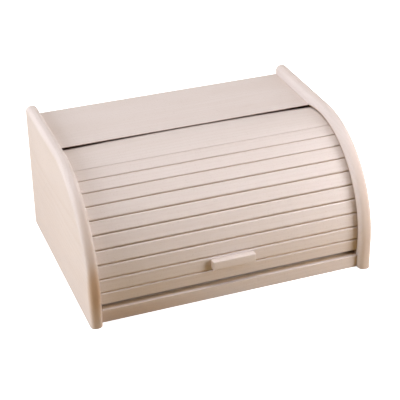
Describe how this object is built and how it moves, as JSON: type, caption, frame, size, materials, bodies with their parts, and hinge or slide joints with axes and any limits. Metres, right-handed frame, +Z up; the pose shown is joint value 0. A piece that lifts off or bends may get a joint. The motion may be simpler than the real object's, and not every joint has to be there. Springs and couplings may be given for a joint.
{
  "type": "roll-top bread box",
  "caption": "Wooden bread box with two rounded cheeks, a fixed top board and a slatted tambour lid that rolls up and back under it.",
  "frame": {"origin": "on the underside, in the middle of the box's width and depth", "axes": "+X to the right seen from the front, +Y to the back, +Z up"},
  "size_m": [0.39, 0.289, 0.183],
  "materials": {
    "cheek_wood": "fine sanded, unfinished pale hardwood",
    "board_wood": "fine sanded, unfinished pale hardwood",
    "slat_wood": "fine sanded, unfinished pale hardwood",
    "handle_wood": "fine sanded, unfinished pale hardwood",
    "panel_plywood": "sanded plywood",
    "dowel_wood": "turned hardwood",
    "canvas": "plain woven cotton canvas",
    "steel": "zinc plated"
  },
  "bodies": {
    "carcass": {"left_cheek": "cheek_wood", "right_cheek": "cheek_wood", "base_board": "board_wood", "top_board": "board_wood", "back_panel": "panel_plywood", "base_dowels": "dowel_wood", "top_dowels": "dowel_wood", "back_panel_pins": "steel"},
    "tambour": {"slat_01": "slat_wood", "slat_02": "slat_wood", "slat_03": "slat_wood", "slat_04": "slat_wood", "slat_05": "slat_wood", "slat_06": "slat_wood", "slat_07": "slat_wood", "slat_08": "slat_wood", "slat_09": "slat_wood", "slat_10": "slat_wood", "head_slat": "slat_wood", "handle": "handle_wood", "handle_screws": "steel", "backing_cloth": "canvas"}
  },
  "joints": [
    {"name": "tambour_roll", "type": "hinge", "parent": "carcass", "child": "tambour", "pos_m": [0, 0, 0.041], "axis": [-1, 0, 0], "range_deg": [0, 80]}
  ]
}
